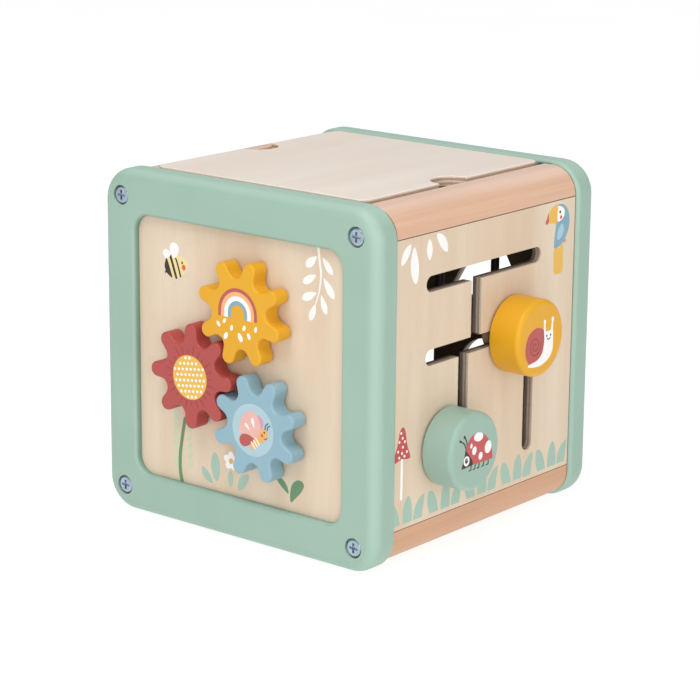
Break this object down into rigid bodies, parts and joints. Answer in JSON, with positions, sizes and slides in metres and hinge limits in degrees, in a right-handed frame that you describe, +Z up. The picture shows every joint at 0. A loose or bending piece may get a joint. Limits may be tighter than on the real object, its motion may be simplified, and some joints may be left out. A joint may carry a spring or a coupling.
{
  "type": "wooden activity cube",
  "caption": "Wooden baby activity cube with turning flower gears, sliding knobs in a slot maze, shape-sorting holes and a lift-off lid that carries bead loops.",
  "frame": {"origin": "centre of the overall footprint, knobs and gears included, at floor level", "axes": "+X to the right along the gear face, towards the side with the knobs; +Y from the gear face to the back; +Z up"},
  "size_m": [0.219, 0.2074, 0.2004],
  "materials": {
    "mint_paint": "satin paint on fibreboard",
    "plywood": "clear matt lacquer on light plywood",
    "beech": "clear satin lacquer on beech",
    "yellow_paint": "satin paint on wood",
    "red_paint": "satin paint on wood",
    "blue_paint": "satin paint on wood",
    "steel": "zinc plated",
    "nylon": "natural moulded nylon",
    "wire_coat": "powder coated steel wire"
  },
  "bodies": {
    "cube": {"front_frame": "mint_paint", "rear_frame": "mint_paint", "front_frame_screws": "steel", "rear_frame_screws": "steel", "rail_top_right": "beech", "rail_top_left": "beech", "rail_bottom_right": "beech", "rail_bottom_left": "beech", "front_panel": "plywood", "rear_panel": "plywood", "right_panel": "plywood", "left_panel": "plywood", "bottom_panel": "plywood", "red_gear_bush": "nylon", "red_gear_washer": "steel", "yellow_gear_bush": "nylon", "yellow_gear_washer": "steel", "blue_gear_bush": "nylon", "blue_gear_washer": "steel"},
    "red_gear": {"red_gear": "red_paint", "red_gear_screw": "steel"},
    "yellow_gear": {"yellow_gear": "yellow_paint", "yellow_gear_screw": "steel"},
    "blue_gear": {"blue_gear": "blue_paint", "blue_gear_screw": "steel"},
    "yellow_slider": {"yellow_knob_spool": "nylon", "yellow_knob_retainer": "beech"},
    "yellow_knob": {"yellow_knob": "yellow_paint", "yellow_knob_screw": "steel"},
    "mint_slider": {"mint_knob_spool": "nylon", "mint_knob_retainer": "beech"},
    "mint_knob": {"mint_knob": "mint_paint", "mint_knob_screw": "steel"},
    "lid": {"lid_board": "plywood", "bead_wire_right": "wire_coat", "bead_wire_left": "wire_coat"},
    "bead_red": {"bead_red": "red_paint"},
    "bead_yellow": {"bead_yellow": "yellow_paint"},
    "bead_blue": {"bead_blue": "blue_paint"},
    "bead_mint": {"bead_mint": "mint_paint"}
  },
  "joints": [
    {"name": "red_gear_spin", "type": "hinge", "parent": "cube", "child": "red_gear", "pos_m": [-0.0357, -0.09625, 0.0916], "axis": [0, -1, 0], "continuous": true},
    {"name": "yellow_gear_spin", "type": "hinge", "parent": "cube", "child": "yellow_gear", "pos_m": [-0.0002, -0.09625, 0.1329], "axis": [0, -1, 0], "continuous": true},
    {"name": "blue_gear_spin", "type": "hinge", "parent": "cube", "child": "blue_gear", "pos_m": [0.011, -0.09625, 0.0703], "axis": [0, -1, 0], "continuous": true},
    {"name": "yellow_knob_slide", "type": "slide", "parent": "cube", "child": "yellow_slider", "axis": [0, 1, 0], "range_m": [-0.0731, 0.0182]},
    {"name": "yellow_knob_spin", "type": "hinge", "parent": "yellow_slider", "child": "yellow_knob", "pos_m": [0.0955, 0.02525, 0.1132], "axis": [1, 0, 0], "continuous": true},
    {"name": "mint_knob_slide", "type": "slide", "parent": "cube", "child": "mint_slider", "axis": [0, 1, 0], "range_m": [-0.0142, 0.0153]},
    {"name": "mint_knob_spin", "type": "hinge", "parent": "mint_slider", "child": "mint_knob", "pos_m": [0.0955, -0.03365, 0.0614], "axis": [1, 0, 0], "continuous": true},
    {"name": "lid_lift", "type": "slide", "parent": "cube", "child": "lid", "axis": [0, 0, 1], "range_m": [0, 0.125]},
    {"name": "bead_red_travel", "type": "hinge", "parent": "lid", "child": "bead_red", "pos_m": [0.0405, 0.04875, 0.1324], "axis": [1, 0, 0], "range_deg": [0, 55]},
    {"name": "bead_yellow_travel", "type": "hinge", "parent": "lid", "child": "bead_yellow", "pos_m": [0.0405, 0.04875, 0.1324], "axis": [1, 0, 0], "range_deg": [-55, 0]},
    {"name": "bead_blue_travel", "type": "hinge", "parent": "lid", "child": "bead_blue", "pos_m": [-0.0595, -0.04125, 0.1324], "axis": [1, 0, 0], "range_deg": [0, 55]},
    {"name": "bead_mint_travel", "type": "hinge", "parent": "lid", "child": "bead_mint", "pos_m": [-0.0595, -0.04125, 0.1324], "axis": [1, 0, 0], "range_deg": [-55, 0]}
  ],
  "couplings": [
    {"joint": "yellow_gear_spin", "follows": "red_gear_spin", "ratio": -1},
    {"joint": "blue_gear_spin", "follows": "red_gear_spin", "ratio": -1}
  ]
}
